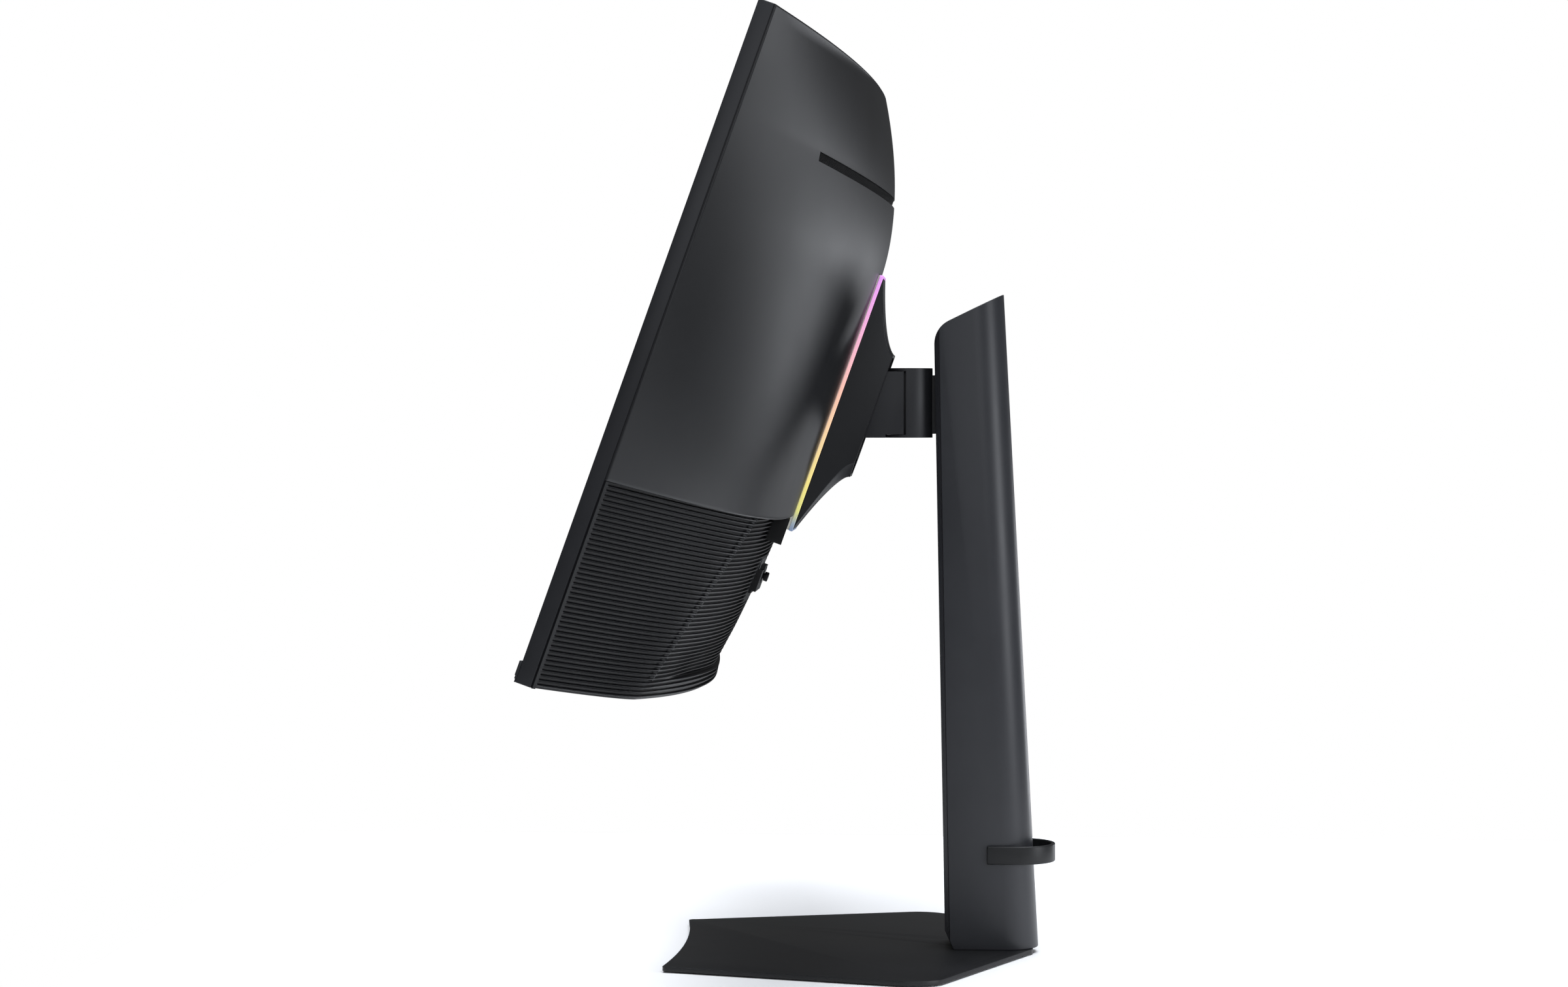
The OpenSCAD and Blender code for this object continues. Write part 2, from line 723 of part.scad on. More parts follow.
module lower_cover() {
    gap = 0.2;
    color("#25262a") in_head() difference() {
        skin_between(across(48), steps(trim_split + 0.1, cover_split - 0.1, 9),
            function (x, v) low_w(x, v), function (x, v) inside(x, v, low_w(x, v)));
        span([-ring_half - seam, -30, ring_bottom - seam], [ring_half + seam, 20, 0]);
        span([port_in - gap, -30, port_low - gap], [port_out + gap, 20, -80]);
        span([-joy_half - gap, -30, joy_low - gap], [joy_half + gap, 20, joy_high + gap]);
    }
}

module bottom_trim() {
    floor_t = 2.5;
    inner = function (x, v) v > -head_bottom + floor_t && v < trim_split - 2.2
        ? inside(x, v, trim_w(x, v)) : frame_back(x) + 0.3;
    vs = [-head_bottom, -head_bottom + floor_t - 0.1, -head_bottom + floor_t + 0.1, -203,
        window_low, window_low + 1.1, -194.6, trim_split - 2.4, trim_split - 2.1, trim_split];
    color("#25262a") in_head() skin_between(across(40), vs,
        function (x, v) trim_w(x, v), inner);
}

module vent_grille() {
    depth = 5;
    low = vent_v - vent_h / 2 - 3;
    high = vent_v + vent_h / 2 + 3;
    color("#141416") in_head() difference() {
        skin_between(steps(-vent_half - 4, vent_half + 4, 24), [low, vent_v, high],
            function (x, v) cover_w(x, v) - depth, function (x, v) cover_w(x, v) - depth - 1.5);
        for (x = steps(-220, 220, 44))
            span([x - 2.5, -90, vent_v - 2], [x + 2.5, 20, vent_v + 2]);
    }
}

// The collar's hollow flare at share u of its depth.
function flare_inset(u) = 1.6 + 46.6 * (1 - pow(1 - u, 1.55));
function flare_w(u) = 1.5 + (rim_w - 1.5) * u;

// The collar's wall as [depth, inset at the sides, inset at the ends], from its base up its
// outside to the rim and down its inside.
collar_t = 2.2;
collar_wall = concat([[-9.2, 0.3, 0.3], [-3.3, 0.3, 0.3], [-3.3, 2.4, 2.4], [1.5, 2.4, 2.4]],
    [for (u = steps(0, 1, 12)) [flare_w(u), 1, flare_inset(u)]],
    [[rim_w, 1 + collar_t, flare_inset(1) + collar_t]],
    [for (u = steps(0.95, 0.1, 8)) [flare_w(u) - 1.6, 1 + collar_t, flare_inset(u) + 1.6]],
    [[0, 4, 5.2], [-4.9, 4, 5.2], [-4.9, 2.5, 2.5], [-9.2, 2.5, 2.5]]);

module neck_collar() {
    n = len(collar_wall);
    color("#2c2d30") in_head() loft([for (i = [n - 1:-1:0])
        collar_ring(collar_wall[i][0], collar_wall[i][1], collar_wall[i][2])], closed = true);
}

module light_ring() {
    color("#f0b0c8") in_head() outline_band(-1, 1.4, 0, 2.2);
}

module ring_led_strip() {
    color("#f5f5f5") in_head() outline_band(-3.2, -1.1, 0.3, 2.1);
}

// ---------- head: electronics ----------

board_x = 122;
board_v = -3;

module board(x, v, w, h) {
    span([x - w / 2, board_w, v - h / 2], [x + w / 2, board_w + 1.6, v + h / 2]);
}

module main_board() {
    color("#1f5c3a") in_head() {
        board(board_x, board_v, 68, 140);
        for (v = [-50, -30]) span([110, board_w + 1.6, v], [124, board_w + 3.2, v + 12]);
    }
}

module heat_sink() {
    color("#b4b7bb") in_head() {
        span([98, board_w + 1.6, 10], [134, board_w + 4, 46]);
        for (i = [0:6]) span([98 + 5.75 * i, board_w + 3.9, 10], [99.5 + 5.75 * i, -15.6, 46]);
    }
}

module power_board() {
    color("#8a6a2c") in_head() {
        board(-board_x, board_v, 68, 140);
        span([-145, board_w + 1.6, -20], [-120, -14.8, 8]);
        for (v = [30, 46]) post(-125, v, board_w + 1.6, -14.8, 6);
    }
}

module timing_board() {
    color("#1f5c3a") in_head() board(0, -133, 150, 26);
}

// Rear face of the socket block: it stands proudest at its outer end.
function port_face(x) = -1 - 0.0565 * (port_out - x);

// How far up a socket goes: less under the light ring.
function socket_top(x) = x > ring_half + 2 ? -90 : -94;

// Places [across, back] of the sockets in the block's underside.
displayport_spot = [52.5, -5.6];
displayport_size = [17.2, 5.9];
hdmi_spots = [[27, -6.8], [10, -7.6]];
hdmi_size = [15, 5.6];
audio_spot = [39.5, -6];
power_spot = [-2.5, -8.2];
round_r = 2.9;             // outside of the round sockets

// A pocket in the underside of the socket block, `gap` wider than the socket.
module pocket(spot, size, gap) {
    span([spot.x - (size.x + gap) / 2, spot.y - (size.y + gap) / 2, port_low - 1],
        [spot.x + (size.x + gap) / 2, spot.y + (size.y + gap) / 2, socket_top(spot.x)]);
}

// A rectangular socket with a tongue, its mouth downwards.
module socket(spot, size) {
    shell = 0.5;
    top = socket_top(spot.x);
    half = size / 2;
    span([spot.x - half.x + 1.6, spot.y - 0.8, port_low + 1],
        [spot.x + half.x - 1.6, spot.y + 0.8, top - 1]);
    difference() {
        span([spot.x - half.x, spot.y - half.y, port_low], [spot.x + half.x, spot.y + half.y, top]);
        span([spot.x - half.x + shell, spot.y - half.y + shell, port_low - 1],
            [spot.x + half.x - shell, spot.y + half.y - shell, top - 1.5]);
    }
}

module port_block() {
    gap = 0.3;
    color("#0c0c0e") in_head() difference() {
        translate([0, 0, port_low]) linear_extrude(height = cover_split - seam - port_low)
            polygon([[port_in, -26], [port_out, -26], [port_out, port_face(port_out)],
                [port_in, port_face(port_in)]]);
        span([-ring_half - seam, -30, ring_bottom - seam], [ring_half + seam, 20, 0]);
        for (spot = hdmi_spots) pocket(spot, hdmi_size, gap);
        pocket(displayport_spot, displayport_size, gap);
        for (spot = [audio_spot, power_spot]) translate([spot.x, spot.y, port_low - 1])
            cylinder(h = socket_top(spot.x) - port_low + 1, r = round_r + gap / 2, $fn = 48);
    }
}

module hdmi_sockets() {
    color("#c9ccd0") in_head() for (spot = hdmi_spots) socket(spot, hdmi_size);
}

module displayport_socket() {
    color("#c9ccd0") in_head() socket(displayport_spot, displayport_size);
}

module round_socket(spot, bore_r, pin_r) {
    depth = socket_top(spot.x) - port_low;
    translate([spot.x, spot.y, port_low]) {
        difference() {
            cylinder(h = depth, r = round_r, $fn = 48);
            translate([0, 0, -1]) cylinder(h = depth, r = bore_r, $fn = 48);
        }
        if (pin_r > 0) translate([0, 0, 2]) cylinder(h = depth - 2, r = pin_r, $fn = 24);
    }
}

module audio_socket() {
    color("#1c1c1e") in_head() round_socket(audio_spot, 1.8, 0);
}

module power_socket() {
    color("#1c1c1e") in_head() round_socket(power_spot, 2, 0.8);
}

// ---------- joystick ----------

joy_axis_w = -15;
joy_bore = 5.9;
cradle_r = 5.4;

// A pin or hole through the joystick's centre, across the head or up along it.
module joy_pin(r, from, to, upright = false) {
    translate([0, joy_axis_w, joy_v]) rotate([0, upright ? 0 : 90, 0])
        translate([0, 0, from]) cylinder(h = to - from, r = r, $fn = 24);
}

module joystick_housing() {
    color("#101012") in_head() difference() {
        union() {
            span([-joy_half, -18, joy_low], [joy_half, -11, joy_high]);
            span([-joy_half, -12, joy_low + 2], [joy_half, -8.4, -124.5]);
            span([-12, -12, -124.6], [12, -8, -121.5]);
        }
        post(0, joy_v, -30, 0, joy_bore);
        joy_pin(0.75, -7.2, 7.2);
    }
}

module joystick_board() {
    color("#1f5c3a") in_head() span([-joy_half, -20, joy_low], [joy_half, -18.6, joy_high]);
}

module joystick_cradle() {
    color("#d8d8d0") in_head() difference() {
        union() {
            post(0, joy_v, joy_axis_w - 1, joy_axis_w + 1, cradle_r);
            joy_pin(0.6, -6.8, 6.8);
        }
        post(0, joy_v, joy_axis_w - 3, joy_axis_w + 3, 3.7);
        joy_pin(0.6, -8, 8, upright = true);
    }
}

module joystick_stem() {
    color("#d8d8d0") in_head() difference() {
        union() {
            post(0, joy_v, joy_axis_w - 1, -10, 3.2);
            joy_pin(0.5, -4.7, 4.7, upright = true);
        }
        post(0, joy_v, joy_axis_w - 3, 0, 2.05);
    }
}

module joystick_knob() {
    color("#18181a") in_head() {
        post(0, joy_v, -17, -7, 2);
        post(0, joy_v, -7.2, -4.4, 3.3);
    }
}

base_plate();
foot_pads();
base_screws();
base_thumbscrew();
column_foot();
column_shell();
column_front();
lift_rail();
rail_screws();
cable_clip();
spring_axle();
spring_drum();
spring_strip();
carriage_block();
glide_pads();
swivel_yoke();
yoke_screws();
swivel_pin();
arm_housing();
swivel_bushes();
tilt_bushes();
tilt_shaft();
friction_washers();
shaft_nuts();
tilt_bracket();
bracket_screws();
chassis_plate();
ring_carrier();
carrier_screws();
lcd_panel();
optical_sheets();
light_guide();
led_bar();
backlight_pan();
bezel_frame();
front_chin();
rear_cover();
lower_cover();
bottom_trim();
vent_grille();
neck_collar();
light_ring();
ring_led_strip();
main_board();
heat_sink();
power_board();
timing_board();
port_block();
hdmi_sockets();
displayport_socket();
audio_socket();
power_socket();
joystick_housing();
joystick_board();
joystick_cradle();
joystick_stem();
joystick_knob();
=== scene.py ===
import json
import math
import bmesh
import bpy
from mathutils import Matrix, Vector

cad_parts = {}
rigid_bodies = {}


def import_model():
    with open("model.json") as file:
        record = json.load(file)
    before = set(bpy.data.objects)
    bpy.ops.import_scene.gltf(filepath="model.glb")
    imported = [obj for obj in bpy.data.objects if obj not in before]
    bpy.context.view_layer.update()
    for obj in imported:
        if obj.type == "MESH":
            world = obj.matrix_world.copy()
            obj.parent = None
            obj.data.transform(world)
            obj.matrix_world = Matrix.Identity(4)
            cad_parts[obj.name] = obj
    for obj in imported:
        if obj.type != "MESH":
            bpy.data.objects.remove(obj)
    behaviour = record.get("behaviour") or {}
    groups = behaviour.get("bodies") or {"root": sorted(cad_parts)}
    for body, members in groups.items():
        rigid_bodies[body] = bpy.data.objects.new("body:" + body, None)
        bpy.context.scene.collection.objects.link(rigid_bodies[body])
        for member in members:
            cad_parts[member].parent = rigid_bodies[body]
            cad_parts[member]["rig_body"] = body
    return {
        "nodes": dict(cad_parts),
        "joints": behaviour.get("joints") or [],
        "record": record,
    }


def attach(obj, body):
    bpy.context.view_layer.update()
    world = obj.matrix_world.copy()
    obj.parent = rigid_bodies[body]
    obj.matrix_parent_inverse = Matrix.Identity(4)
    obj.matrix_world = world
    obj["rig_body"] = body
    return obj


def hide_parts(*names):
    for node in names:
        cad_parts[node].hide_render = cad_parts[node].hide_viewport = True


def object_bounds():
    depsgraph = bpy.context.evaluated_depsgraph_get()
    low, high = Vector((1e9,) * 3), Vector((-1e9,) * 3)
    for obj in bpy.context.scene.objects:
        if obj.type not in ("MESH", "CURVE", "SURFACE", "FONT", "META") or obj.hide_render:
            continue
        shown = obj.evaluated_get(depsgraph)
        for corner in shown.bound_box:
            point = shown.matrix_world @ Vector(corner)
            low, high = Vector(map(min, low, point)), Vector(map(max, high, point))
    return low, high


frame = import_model()
cad_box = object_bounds()
scene = bpy.context.scene

# ---------- places taken from the frame ----------

MM = 0.001
JOINTS = {joint["name"]: joint for joint in frame["joints"]}


def axes_at(origin, back, up):
    """The matrix that takes millimetres [across, back, up] to the row frame."""
    columns = Matrix((Vector((MM, 0, 0)), back * MM, up * MM)).transposed()
    matrix = columns.to_4x4()
    matrix.translation = origin
    return matrix


head_up = Vector(JOINTS["joystick_left_right"]["axis"])
head_back = -Vector(JOINTS["joystick_press"]["axis"])
tilt_axis = Vector(JOINTS["tilt"]["pos_m"])
HEAD = axes_at(tilt_axis, head_back, head_up)

# ---------- the head's sizes, in millimetres in its own frame ----------
# x runs across the head, w backward and v up it, from the middle of the tilt axis.

half_w = cad_box[1].x / MM
head_top = 208.4
head_bottom = 211
screen_r = 1220         # the screen's curve
glass_front = 50.7      # from the tilt axis forward to the glass
bezel_depth = 9.3
bezel_w = 6.5
skin = 2.4              # thickness of the covers
cover_split = -83       # seam between the smooth and the ribbed cover
trim_split = -198       # seam between the ribbed cover and the bottom trim
vent_v = 141.6
vent_h = 5.8
vent_half = 239
window_high = head_top - bezel_w + 0.5
window_low = -head_bottom + 13
ring_half = 25
ring_top = 92
ring_bottom = -92.6
rim_w = 25.6            # the collar's open end
port_out = 62
port_in = -8
port_low = -101.5
joy_half = 24
joy_low = -142
joy_high = -117
gap = 0.3

# ---------- camera ----------

CAMERA_AT = Vector((2.243, -0.005, 0.373))
CAMERA_TURN = 3.49      # degrees towards the front of the monitor, from straight across
CAMERA_DIP = 1.49       # degrees below the horizon
CAMERA_LENS = 74.97


def make_camera():
    turn = math.radians(CAMERA_TURN)
    dip = math.radians(CAMERA_DIP)
    level = math.cos(dip)
    looking = Vector((-math.cos(turn) * level, -math.sin(turn) * level, -math.sin(dip)))
    data = bpy.data.cameras.new("camera")
    data.lens = CAMERA_LENS
    data.sensor_width = 36
    camera = bpy.data.objects.new("camera", data)
    camera.location = CAMERA_AT
    camera.rotation_mode = "QUATERNION"
    camera.rotation_quaternion = looking.to_track_quat("-Z", "Y")
    scene.collection.objects.link(camera)
    scene.camera = camera


make_camera()
scene.view_settings.view_transform = "Standard"

# ---------- materials ----------


def node_material(name):
    """A new material with its shader node, texture coordinate and node tree."""
    material = bpy.data.materials.new(name)
    material.use_nodes = True
    tree = material.node_tree
    shader = tree.nodes["Principled BSDF"]
    coords = tree.nodes.new("ShaderNodeTexCoord")
    return material, tree, shader, coords.outputs["Object"]


def noise(tree, coords, scale, detail=4.0):
    """A noise value; a bigger scale is finer."""
    node = tree.nodes.new("ShaderNodeTexNoise")
    node.inputs["Scale"].default_value = scale
    node.inputs["Detail"].default_value = detail
    tree.links.new(coords, node.inputs["Vector"])
    return node.outputs["Fac"]


def remap(tree, value, low, high):
    """Spreads the middle of a noise value over low to high."""
    node = tree.nodes.new("ShaderNodeMapRange")
    node.inputs["From Min"].default_value = 0.3
    node.inputs["From Max"].default_value = 0.7
    node.inputs["To Min"].default_value = low
    node.inputs["To Max"].default_value = high
    tree.links.new(value, node.inputs["Value"])
    return node.outputs["Result"]


def tint(tree, value, low, high):
    """A colour between two, by a noise value."""
    node = tree.nodes.new("ShaderNodeValToRGB")
    node.color_ramp.elements[0].position = 0.3
    node.color_ramp.elements[1].position = 0.7
    node.color_ramp.elements[0].color = (*low, 1)
    node.color_ramp.elements[1].color = (*high, 1)
    tree.links.new(value, node.inputs["Fac"])
    return node.outputs["Color"]


def bumps(tree, shader, value, depth):
    """A bump of the given depth in millimetres."""
    node = tree.nodes.new("ShaderNodeBump")
    node.inputs["Strength"].default_value = 1.0
    node.inputs["Distance"].default_value = depth * MM
    tree.links.new(value, node.inputs["Height"])
    tree.links.new(node.outputs["Normal"], shader.inputs["Normal"])


def surface(name, colour, spread=0.12, rough=(0.45, 0.52), grain=1800, depth=0.012,
            patch=14, metallic=0.0, specular=0.5):
    """A moulded, painted or metal surface: fine grain, patchy roughness, slight colour drift."""
    material, tree, shader, coords = node_material(name)
    broad = noise(tree, coords, patch)
    low = tuple(c * (1 - spread) for c in colour)
    high = tuple(c * (1 + spread) for c in colour)
    tree.links.new(tint(tree, broad, low, high), shader.inputs["Base Color"])
    tree.links.new(remap(tree, broad, *rough), shader.inputs["Roughness"])
    shader.inputs["Metallic"].default_value = metallic
    shader.inputs["Specular IOR Level"].default_value = specular
    bumps(tree, shader, noise(tree, coords, grain, 2.0), depth)
    return material


def brushed(name, colour, rough=(0.25, 0.38), along=(1, 1, 40)):
    """Metal with fine lines drawn along one direction."""
    material, tree, shader, coords = node_material(name)
    stretch = tree.nodes.new("ShaderNodeVectorMath")
    stretch.operation = "MULTIPLY"
    stretch.inputs[1].default_value = along
    tree.links.new(coords, stretch.inputs[0])
    lines = noise(tree, stretch.outputs["Vector"], 90, 6.0)
    low = tuple(c * 0.88 for c in colour)
    tree.links.new(tint(tree, lines, low, colour), shader.inputs["Base Color"])
    tree.links.new(remap(tree, lines, *rough), shader.inputs["Roughness"])
    shader.inputs["Metallic"].default_value = 1.0
    bumps(tree, shader, lines, 0.008)
    return material


def circuit_board(name):
    """Green board: solder mask over a faint pattern of tracks."""
    material, tree, shader, coords = node_material(name)
    tracks = tree.nodes.new("ShaderNodeTexBrick")
    tracks.inputs["Scale"].default_value = 260
    tracks.inputs["Mortar Size"].default_value = 0.03
    tracks.inputs["Color1"].default_value = (0.008, 0.075, 0.03, 1)
    tracks.inputs["Color2"].default_value = (0.012, 0.10, 0.045, 1)
    tracks.inputs["Mortar"].default_value = (0.03, 0.16, 0.08, 1)
    tree.links.new(coords, tracks.inputs["Vector"])
    tree.links.new(tracks.outputs["Color"], shader.inputs["Base Color"])
    tree.links.new(remap(tree, noise(tree, coords, 300), 0.3, 0.45), shader.inputs["Roughness"])
    bumps(tree, shader, tracks.outputs["Fac"], 0.02)
    return material


# Hues up the ring: grey-blue at its foot, yellow, salmon, pink, then violet at its top.
RING_HUES = ((0.0, (0.16, 0.22, 0.36)), (0.03, (0.30, 0.36, 0.42)), (0.08, (0.72, 0.70, 0.22)),
             (0.18, (0.90, 0.76, 0.24)), (0.36, (0.93, 0.66, 0.36)), (0.55, (0.95, 0.53, 0.42)),
             (0.75, (0.93, 0.45, 0.62)), (0.92, (0.84, 0.36, 0.80)), (1.0, (0.74, 0.30, 0.84)))


def lit_ring(name):
    """Translucent ring lit from behind, its hue changing from its foot to its top."""
    material, tree, shader, coords = node_material(name)
    height = tree.nodes.new("ShaderNodeVectorMath")
    height.operation = "DOT_PRODUCT"
    height.inputs[1].default_value = head_up
    tree.links.new(coords, height.inputs[0])
    share = tree.nodes.new("ShaderNodeMapRange")
    middle = tilt_axis.dot(head_up)
    share.inputs["From Min"].default_value = middle + ring_bottom * MM
    share.inputs["From Max"].default_value = middle + ring_top * MM
    tree.links.new(height.outputs["Value"], share.inputs["Value"])
    ramp = tree.nodes.new("ShaderNodeValToRGB")
    stops = ramp.color_ramp.elements
    stops[0].position = RING_HUES[0][0]
    stops[0].color = (*RING_HUES[0][1], 1)
    stops[1].position = RING_HUES[-1][0]
    stops[1].color = (*RING_HUES[-1][1], 1)
    for position, colour in RING_HUES[1:-1]:
        stops.new(position).color = (*colour, 1)
    tree.links.new(share.outputs["Result"], ramp.inputs["Fac"])
    tree.links.new(ramp.outputs["Color"], shader.inputs["Base Color"])
    tree.links.new(ramp.outputs["Color"], shader.inputs["Emission Color"])
    shader.inputs["Emission Strength"].default_value = 0.5
    shader.inputs["Roughness"].default_value = 0.3
    return material


MATERIALS = {
    "base_metal": surface("base_metal", (0.0065, 0.0068, 0.0078), rough=(0.38, 0.46),
                          grain=2600, depth=0.006, specular=0.4),
    "column_metal": surface("column_metal", (0.028, 0.029, 0.033), rough=(0.36, 0.44),
                            grain=2600, depth=0.006, specular=0.35),
    "rubber": surface("rubber", (0.02, 0.02, 0.021), rough=(0.7, 0.85), grain=900, depth=0.03),
    "zinc_steel": brushed("zinc_steel", (0.62, 0.63, 0.65)),
    "cast_foot": surface("cast_foot", (0.42, 0.43, 0.45), rough=(0.4, 0.55), grain=700,
                         depth=0.04, metallic=0.9),
    "spring_steel": brushed("spring_steel", (0.7, 0.71, 0.74), rough=(0.15, 0.25)),
    "arm_plastic": surface("arm_plastic", (0.013, 0.0134, 0.0155), rough=(0.42, 0.5), specular=0.35),
    "clip_plastic": surface("clip_plastic", (0.008, 0.0083, 0.009), rough=(0.4, 0.48), specular=0.35),
    "glide_plastic": surface("glide_plastic", (0.72, 0.72, 0.68), rough=(0.35, 0.45)),
    "brass_washer": brushed("brass_washer", (0.72, 0.52, 0.22)),
    "cover_plastic": surface("cover_plastic", (0.0065, 0.0069, 0.0084), rough=(0.38, 0.42),
                             specular=0.38),
    "ribbed_plastic": surface("ribbed_plastic", (0.0030, 0.0032, 0.0042), rough=(0.36, 0.42),
                              specular=0.15),
    "bezel_plastic": surface("bezel_plastic", (0.019, 0.0196, 0.0225), rough=(0.4, 0.5), specular=0.35),
    "glass_panel": surface("glass_panel", (0.006, 0.006, 0.007), rough=(0.22, 0.26), grain=4000,
                           depth=0.003),
    "optical_film": surface("optical_film", (0.8, 0.81, 0.82), rough=(0.5, 0.6)),
    "light_guide": surface("light_guide", (0.7, 0.76, 0.8), rough=(0.08, 0.14), depth=0.004),
    "led_strip": surface("led_strip", (0.8, 0.79, 0.7), rough=(0.4, 0.5)),
    "ring_diffuser": lit_ring("ring_diffuser"),
    "board": circuit_board("board"),
    "heat_metal": brushed("heat_metal", (0.6, 0.61, 0.63)),
    "port_plastic": surface("port_plastic", (0.003, 0.003, 0.0035), rough=(0.4, 0.5), specular=0.25),
    "socket_metal": brushed("socket_metal", (0.68, 0.68, 0.7), rough=(0.12, 0.2)),
}
SLOTS = {row["node"]: row["material_slot"] for row in frame["record"]["subparts"]}

# ---------- mesh helpers ----------


def steps(low, high, count):
    return [low + (high - low) * i / count for i in range(count + 1)]


def shade(mesh, angle=32):
    mesh.polygons.foreach_set("use_smooth", [True] * len(mesh.polygons))
    mesh.set_sharp_from_angle(angle=math.radians(angle))


def add_piece(name, mesh, replaced, modifiers=(), angle=32):
    """Puts a mesh in the scene with its modifiers applied, in place of a CAD node."""
    obj = bpy.data.objects.new(name, mesh)
    scene.collection.objects.link(obj)
    for kind, settings in modifiers:
        modifier = obj.modifiers.new(kind.lower(), kind)
        for key, value in settings.items():
            setattr(modifier, key, value)
    if modifiers:
        graph = bpy.context.evaluated_depsgraph_get()
        done = bpy.data.meshes.new_from_object(obj.evaluated_get(graph))
        obj.modifiers.clear()
        obj.data = done
    obj.data.name = name
    shade(obj.data, angle)
    slot = SLOTS[replaced]
    obj.data.materials.clear()
    obj.data.materials.append(MATERIALS[slot])
    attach(obj, frame["nodes"][replaced]["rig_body"])
    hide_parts(replaced)
    return obj


def clean_mesh(name, verts, faces, matrix):
    """A mesh from points in millimetres, with loose points gone and normals outward."""
    mesh = bpy.data.meshes.new(name)
    mesh.from_pydata([matrix @ Vector(v) for v in verts], [], faces)
    work = bmesh.new()
    work.from_mesh(mesh)
    loose = [v for v in work.verts if not v.link_faces]
    bmesh.ops.delete(work, geom=loose, context="VERTS")
    bmesh.ops.recalc_face_normals(work, faces=work.faces)
    work.to_mesh(mesh)
    work.free()
    return mesh


def bevel(width, segments=3, angle=40):
    return ("BEVEL", {"width": width * MM, "segments": segments, "limit_method": "ANGLE",
                      "angle_limit": math.radians(angle), "harden_normals": False})


def softened(node, width=0.6, segments=3, angle=40):
    """A copy of a CAD node's shape with its hard edges rounded, standing for the node."""
    mesh = frame["nodes"][node].data.copy()
    work = bmesh.new()
    work.from_mesh(mesh)
    bmesh.ops.remove_doubles(work, verts=work.verts, dist=0.002 * MM)
    bmesh.ops.dissolve_limit(work, angle_limit=math.radians(1), verts=work.verts,
                             edges=work.edges)
    work.to_mesh(mesh)
    work.free()
    return add_piece(node + "_finished", mesh, node, [bevel(width, segments, angle)])


def shell(name, xs, vs, outer, inner, keep=None):
    """A thick skin over a grid in the head's frame. keep(x, v) leaves cells out."""
    n = len(xs)
    m = len(vs)
    verts = [(x, outer(x, v), v) for v in vs for x in xs]
    verts += [(x, inner(x, v), v) for v in vs for x in xs]
    middle = {(i, j): ((xs[j] + xs[j + 1]) / 2, (vs[i] + vs[i + 1]) / 2)
              for i in range(m - 1) for j in range(n - 1)}
    kept = {cell for cell, (x, v) in middle.items() if keep is None or keep(x, v)}
    k = n * m
    faces = []
    for i, j in sorted(kept):
        a, b, c, d = i * n + j, i * n + j + 1, (i + 1) * n + j + 1, (i + 1) * n + j
        faces.append((a, d, c, b))
        faces.append((k + a, k + b, k + c, k + d))
        for p, q, beside in ((a, b, (i - 1, j)), (b, c, (i, j + 1)),
                             (c, d, (i + 1, j)), (d, a, (i, j - 1))):
            if beside not in kept:
                faces.append((p, q, k + q, k + p))
    return clean_mesh(name, verts, faces, HEAD)


def loft(name, rings, matrix, closed=True):
    """A surface through rings of equal length; closed joins the last ring to the first."""
    n = len(rings[0])
    m = len(rings)
    verts = [p for ring in rings for p in ring]
    faces = []
    for i in range(m if closed else m - 1):
        for j in range(n):
            a, b = i * n + j, i * n + (j + 1) % n
            c, d = ((i + 1) % m) * n + (j + 1) % n, ((i + 1) % m) * n + j
            faces.append((a, b, c, d))
    if not closed:
        faces.append(tuple(range(n)))
        faces.append(tuple(range((m - 1) * n, m * n)))
    return clean_mesh(name, verts, faces, matrix)


# ---------- the covers' surfaces, as functions of (x, v) ----------


def smooth(t):
    u = min(max(t, 0.0), 1.0)
    return u * u * (3 - 2 * u)


def arc_w(x, behind):
    """Depth at x of an arc round the screen's centre."""
    return math.sqrt((screen_r + behind) ** 2 - x * x) - glass_front - screen_r


def stack_back(x):
    return arc_w(x, 6)


def frame_back(x):
    return arc_w(x, bezel_depth)


edge_w = frame_back(half_w) + 1.2       # the covers' sides, where they meet the bezel

COVER_MID = -1.4        # middle of the smooth cover, below its bend
BEND_V = 93             # above this height the middle comes forward
BEND_H = 111
BEND_DEPTH = 36.4
BEND_POWER = 1.78
BREAK_V = 144           # the height at which the cover is least square across


def cover_mid(v):
    return COVER_MID - BEND_DEPTH * (max(v - BEND_V, 0) / BEND_H) ** BEND_POWER


def cover_power(v):
    """How square the smooth cover is across: squarest at its foot."""
    if v < BREAK_V:
        return 3 - 1.3 * smooth((v - cover_split) / (BREAK_V - cover_split))
    return 1.7 + 0.2 * (v - BREAK_V) / (head_top - BREAK_V)


def cover_w(x, v):
    mid = cover_mid(v)
    curve = mid - (mid - edge_w) * (abs(x) / half_w) ** cover_power(v)
    return max(frame_back(x) + 0.9, curve)


CREASE_H = 115          # the crease runs outward and forward over this height
CREASE_TOP_X = 172
CREASE_TOP_W = -15
CREASE_RUN = 61
CREASE_DROP = 25
SIDE_POWER = 1.2


def crease_t(v):
    return (cover_split - v) / CREASE_H


def crease_x(v):
    return CREASE_TOP_X + CREASE_RUN * crease_t(v)


def crease_w(v):
    return CREASE_TOP_W - CREASE_DROP * crease_t(v)


def side_w(x, v):
    """The ribbed cover outside its crease."""
    across = (abs(x) - crease_x(v)) / (half_w - crease_x(v))
    return crease_w(v) - (crease_w(v) - edge_w) * across ** SIDE_POWER


BULGE_TOP_W = -10
BULGE_DEPTH = 8.2
BULGE_H = 107
BULGE_POWER = 1.8
LOW_POWER = 1.95
TUCK = 3                # how far the ribbed cover draws in just above the trim
TUCK_TOP = -172
TUCK_H = 26


def bulge_mid(v):
    below = max(cover_split - v, 0)
    return BULGE_TOP_W - BULGE_DEPTH * (below / BULGE_H) ** BULGE_POWER


